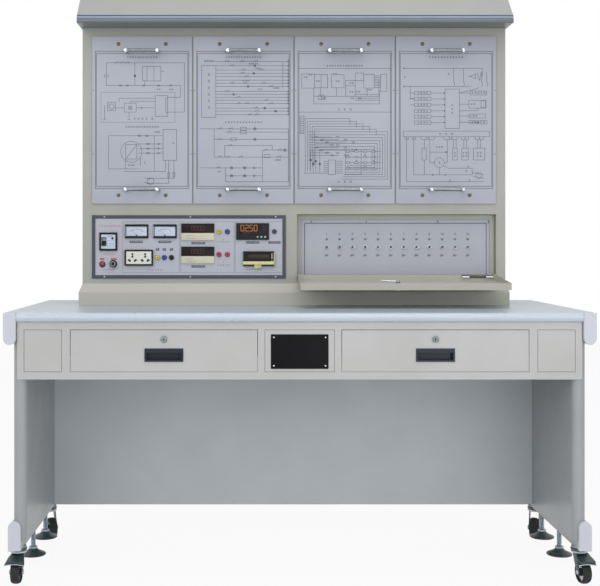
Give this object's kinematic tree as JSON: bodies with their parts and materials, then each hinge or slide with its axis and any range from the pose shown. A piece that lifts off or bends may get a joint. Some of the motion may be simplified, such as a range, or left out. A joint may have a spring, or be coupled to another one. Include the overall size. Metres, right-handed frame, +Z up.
{
  "type": "household appliance training rig",
  "caption": "Lab bench on swivel casters with lockable drawers, carrying an upright cabinet of diagram panels, meters, sockets and a drop-down flap over toggle switches.",
  "frame": {"origin": "on the floor, under the middle of the bench's footprint", "axes": "+Z up; -Y out of the front, where the user sits; +X to the user's right"},
  "size_m": [1.6, 0.7, 1.668],
  "materials": {
    "beige_enamel": "powder coated, fine texture",
    "grey_laminate": "grey-blue laminate on board",
    "pale_nose": "moulded edge strip",
    "pale_print": "printed board",
    "slate_bezel": "moulded dark slate",
    "black_plastic": "moulded black",
    "navy_plastic": "moulded navy black",
    "white_plastic": "moulded white",
    "red_lens": "moulded red lens",
    "chrome": "bright plated",
    "zinc": "zinc plated pressing",
    "dark_rubber": "grey rubber tyre on black hub"
  },
  "bodies": {
    "bench": {"desk_top": "grey_laminate", "desk_front_nose": "pale_nose", "side_frame_left": "beige_enamel", "side_frame_right": "beige_enamel", "apron": "beige_enamel", "modesty_panel": "beige_enamel", "cabinet_shell": "beige_enamel", "cabinet_back": "beige_enamel", "canopy": "beige_enamel", "diagram_panel_1": "pale_print", "diagram_panel_2": "pale_print", "diagram_panel_3": "pale_print", "diagram_panel_4": "pale_print", "instrument_panel": "slate_bezel", "breaker_body": "black_plastic", "indicator_lamp": "red_lens", "power_socket": "white_plastic", "controller": "black_plastic", "connector": "black_plastic", "switch_board": "pale_print"},
    "drawer_left_body": {"drawer_left": "beige_enamel", "drawer_pull_left": "navy_plastic"},
    "drawer_lock_left_body": {"drawer_lock_left": "chrome"},
    "drawer_right_body": {"drawer_right": "beige_enamel", "drawer_pull_right": "navy_plastic"},
    "drawer_lock_right_body": {"drawer_lock_right": "chrome"},
    "caster_front_left_swivel": {"caster_fork_front_left": "zinc"},
    "caster_front_left_roller": {"caster_wheel_front_left": "dark_rubber"},
    "caster_front_left_brake": {"caster_brake_front_left": "zinc"},
    "caster_front_right_swivel": {"caster_fork_front_right": "zinc"},
    "caster_front_right_roller": {"caster_wheel_front_right": "dark_rubber"},
    "caster_front_right_brake": {"caster_brake_front_right": "zinc"},
    "caster_rear_left_swivel": {"caster_fork_rear_left": "zinc"},
    "caster_rear_left_roller": {"caster_wheel_rear_left": "dark_rubber"},
    "caster_rear_right_swivel": {"caster_fork_rear_right": "zinc"},
    "caster_rear_right_roller": {"caster_wheel_rear_right": "dark_rubber"},
    "leveling_foot_front_left_body": {"leveling_foot_front_left": "zinc"},
    "leveling_foot_front_right_body": {"leveling_foot_front_right": "zinc"},
    "leveling_foot_rear_left_body": {"leveling_foot_rear_left": "zinc"},
    "leveling_foot_rear_right_body": {"leveling_foot_rear_right": "zinc"},
    "flap_body": {"flap": "beige_enamel"},
    "flap_latch_body": {"flap_latch": "chrome"},
    "toggle_01_lever": {"toggle_01": "chrome"},
    "toggle_02_lever": {"toggle_02": "chrome"},
    "toggle_03_lever": {"toggle_03": "chrome"},
    "toggle_04_lever": {"toggle_04": "chrome"},
    "toggle_05_lever": {"toggle_05": "chrome"},
    "toggle_06_lever": {"toggle_06": "chrome"},
    "toggle_07_lever": {"toggle_07": "chrome"},
    "toggle_08_lever": {"toggle_08": "chrome"},
    "toggle_09_lever": {"toggle_09": "chrome"},
    "toggle_10_lever": {"toggle_10": "chrome"},
    "toggle_11_lever": {"toggle_11": "chrome"},
    "toggle_12_lever": {"toggle_12": "chrome"},
    "breaker_lever_body": {"breaker_lever": "black_plastic"},
    "breaker_test_button_body": {"breaker_test_button": "white_plastic"},
    "fuse_cap_body": {"fuse_cap": "black_plastic"},
    "controller_key_1_body": {"controller_key_1": "navy_plastic"},
    "controller_key_2_body": {"controller_key_2": "navy_plastic"},
    "controller_key_3_body": {"controller_key_3": "navy_plastic"}
  },
  "joints": [
    {"name": "drawer_left_slide", "type": "slide", "parent": "bench", "child": "drawer_left_body", "axis": [0, -1, 0], "range_m": [0, 0.3]},
    {"name": "drawer_lock_left_turn", "type": "hinge", "parent": "drawer_left_body", "child": "drawer_lock_left_body", "pos_m": [-0.367, -0.338, 0.6667], "axis": [0, -1, 0], "range_deg": [0, 90]},
    {"name": "drawer_right_slide", "type": "slide", "parent": "bench", "child": "drawer_right_body", "axis": [0, -1, 0], "range_m": [0, 0.3]},
    {"name": "drawer_lock_right_turn", "type": "hinge", "parent": "drawer_right_body", "child": "drawer_lock_right_body", "pos_m": [0.367, -0.338, 0.6667], "axis": [0, -1, 0], "range_deg": [0, 90]},
    {"name": "caster_front_left_swivel_turn", "type": "hinge", "parent": "bench", "child": "caster_front_left_swivel", "pos_m": [-0.77, -0.29, 0.09], "axis": [0, 0, 1], "continuous": true},
    {"name": "caster_front_left_roll", "type": "hinge", "parent": "caster_front_left_swivel", "child": "caster_front_left_roller", "pos_m": [-0.77, -0.316, 0.031], "axis": [-1, 0, 0], "continuous": true},
    {"name": "caster_front_left_brake_press", "type": "hinge", "parent": "caster_front_left_swivel", "child": "caster_front_left_brake", "pos_m": [-0.77, -0.298, 0.0755], "axis": [-1, 0, 0], "range_deg": [-6, 0]},
    {"name": "caster_front_right_swivel_turn", "type": "hinge", "parent": "bench", "child": "caster_front_right_swivel", "pos_m": [0.77, -0.29, 0.09], "axis": [0, 0, 1], "continuous": true},
    {"name": "caster_front_right_roll", "type": "hinge", "parent": "caster_front_right_swivel", "child": "caster_front_right_roller", "pos_m": [0.77362, -0.31575, 0.031], "axis": [-0.9903, -0.1392, 0], "continuous": true},
    {"name": "caster_front_right_brake_press", "type": "hinge", "parent": "caster_front_right_swivel", "child": "caster_front_right_brake", "pos_m": [0.77111, -0.29792, 0.0755], "axis": [-0.9903, -0.1392, 0], "range_deg": [-6, 0]},
    {"name": "caster_rear_left_swivel_turn", "type": "hinge", "parent": "bench", "child": "caster_rear_left_swivel", "pos_m": [-0.77, 0.18, 0.09], "axis": [0, 0, 1], "continuous": true},
    {"name": "caster_rear_left_roll", "type": "hinge", "parent": "caster_rear_left_swivel", "child": "caster_rear_left_roller", "pos_m": [-0.75901, 0.15644, 0.031], "axis": [-0.9063, -0.4226, 0], "continuous": true},
    {"name": "caster_rear_right_swivel_turn", "type": "hinge", "parent": "bench", "child": "caster_rear_right_swivel", "pos_m": [0.77, 0.18, 0.09], "axis": [0, 0, 1], "continuous": true},
    {"name": "caster_rear_right_roll", "type": "hinge", "parent": "caster_rear_right_swivel", "child": "caster_rear_right_roller", "pos_m": [0.76068, 0.15573, 0.031], "axis": [-0.9336, 0.3584, 0], "continuous": true},
    {"name": "leveling_foot_front_left_screw", "type": "slide", "parent": "bench", "child": "leveling_foot_front_left_body", "axis": [0, 0, 1], "range_m": [-0.024, 0.01]},
    {"name": "leveling_foot_front_right_screw", "type": "slide", "parent": "bench", "child": "leveling_foot_front_right_body", "axis": [0, 0, 1], "range_m": [-0.024, 0.01]},
    {"name": "leveling_foot_rear_left_screw", "type": "slide", "parent": "bench", "child": "leveling_foot_rear_left_body", "axis": [0, 0, 1], "range_m": [-0.024, 0.01]},
    {"name": "leveling_foot_rear_right_screw", "type": "slide", "parent": "bench", "child": "leveling_foot_rear_right_body", "axis": [0, 0, 1], "range_m": [-0.024, 0.01]},
    {"name": "flap_drop", "type": "hinge", "parent": "bench", "child": "flap_body", "pos_m": [0.313, 0.0425, 0.808], "axis": [1, 0, 0], "range_deg": [-95.5, 0]},
    {"name": "flap_latch_turn", "type": "hinge", "parent": "flap_body", "child": "flap_latch_body", "pos_m": [0.293, -0.13153, 0.79476], "axis": [0, -0.0958, 0.9954], "range_deg": [0, 90]},
    {"name": "toggle_01_flick", "type": "hinge", "parent": "bench", "child": "toggle_01_lever", "pos_m": [0.1018, 0.0687, 0.914], "axis": [1, 0, 0], "range_deg": [0, 24]},
    {"name": "toggle_02_flick", "type": "hinge", "parent": "bench", "child": "toggle_02_lever", "pos_m": [0.1412, 0.0687, 0.914], "axis": [1, 0, 0], "range_deg": [0, 24]},
    {"name": "toggle_03_flick", "type": "hinge", "parent": "bench", "child": "toggle_03_lever", "pos_m": [0.1806, 0.0687, 0.914], "axis": [1, 0, 0], "range_deg": [0, 24]},
    {"name": "toggle_04_flick", "type": "hinge", "parent": "bench", "child": "toggle_04_lever", "pos_m": [0.22, 0.0687, 0.914], "axis": [1, 0, 0], "range_deg": [0, 24]},
    {"name": "toggle_05_flick", "type": "hinge", "parent": "bench", "child": "toggle_05_lever", "pos_m": [0.2594, 0.0687, 0.914], "axis": [1, 0, 0], "range_deg": [0, 24]},
    {"name": "toggle_06_flick", "type": "hinge", "parent": "bench", "child": "toggle_06_lever", "pos_m": [0.2988, 0.0687, 0.914], "axis": [1, 0, 0], "range_deg": [0, 24]},
    {"name": "toggle_07_flick", "type": "hinge", "parent": "bench", "child": "toggle_07_lever", "pos_m": [0.3382, 0.0687, 0.914], "axis": [1, 0, 0], "range_deg": [0, 24]},
    {"name": "toggle_08_flick", "type": "hinge", "parent": "bench", "child": "toggle_08_lever", "pos_m": [0.3776, 0.0687, 0.914], "axis": [1, 0, 0], "range_deg": [0, 24]},
    {"name": "toggle_09_flick", "type": "hinge", "parent": "bench", "child": "toggle_09_lever", "pos_m": [0.417, 0.0687, 0.914], "axis": [1, 0, 0], "range_deg": [0, 24]},
    {"name": "toggle_10_flick", "type": "hinge", "parent": "bench", "child": "toggle_10_lever", "pos_m": [0.4564, 0.0687, 0.914], "axis": [1, 0, 0], "range_deg": [0, 24]},
    {"name": "toggle_11_flick", "type": "hinge", "parent": "bench", "child": "toggle_11_lever", "pos_m": [0.4958, 0.0687, 0.914], "axis": [1, 0, 0], "range_deg": [0, 24]},
    {"name": "toggle_12_flick", "type": "hinge", "parent": "bench", "child": "toggle_12_lever", "pos_m": [0.5352, 0.0687, 0.914], "axis": [1, 0, 0], "range_deg": [0, 24]},
    {"name": "breaker_lever_rock", "type": "hinge", "parent": "bench", "child": "breaker_lever_body", "pos_m": [-0.5787, 0.04615, 0.9315], "axis": [1, 0, 0], "range_deg": [-44, 0]},
    {"name": "breaker_test_button_press", "type": "slide", "parent": "bench", "child": "breaker_test_button_body", "axis": [0, 1, 0], "range_m": [0, 0.0018], "stiffness_N_per_m": 300, "springref_m": -0.002},
    {"name": "fuse_cap_turn", "type": "hinge", "parent": "bench", "child": "fuse_cap_body", "pos_m": [-0.5507, 0.0442, 0.8638], "axis": [0, -1, 0], "range_deg": [0, 90]},
    {"name": "controller_key_1_press", "type": "slide", "parent": "bench", "child": "controller_key_1_body", "axis": [0, 1, 0], "range_m": [0, 0.001], "stiffness_N_per_m": 300, "springref_m": -0.002},
    {"name": "controller_key_2_press", "type": "slide", "parent": "bench", "child": "controller_key_2_body", "axis": [0, 1, 0], "range_m": [0, 0.001], "stiffness_N_per_m": 300, "springref_m": -0.002},
    {"name": "controller_key_3_press", "type": "slide", "parent": "bench", "child": "controller_key_3_body", "axis": [0, 1, 0], "range_m": [0, 0.001], "stiffness_N_per_m": 300, "springref_m": -0.002}
  ]
}
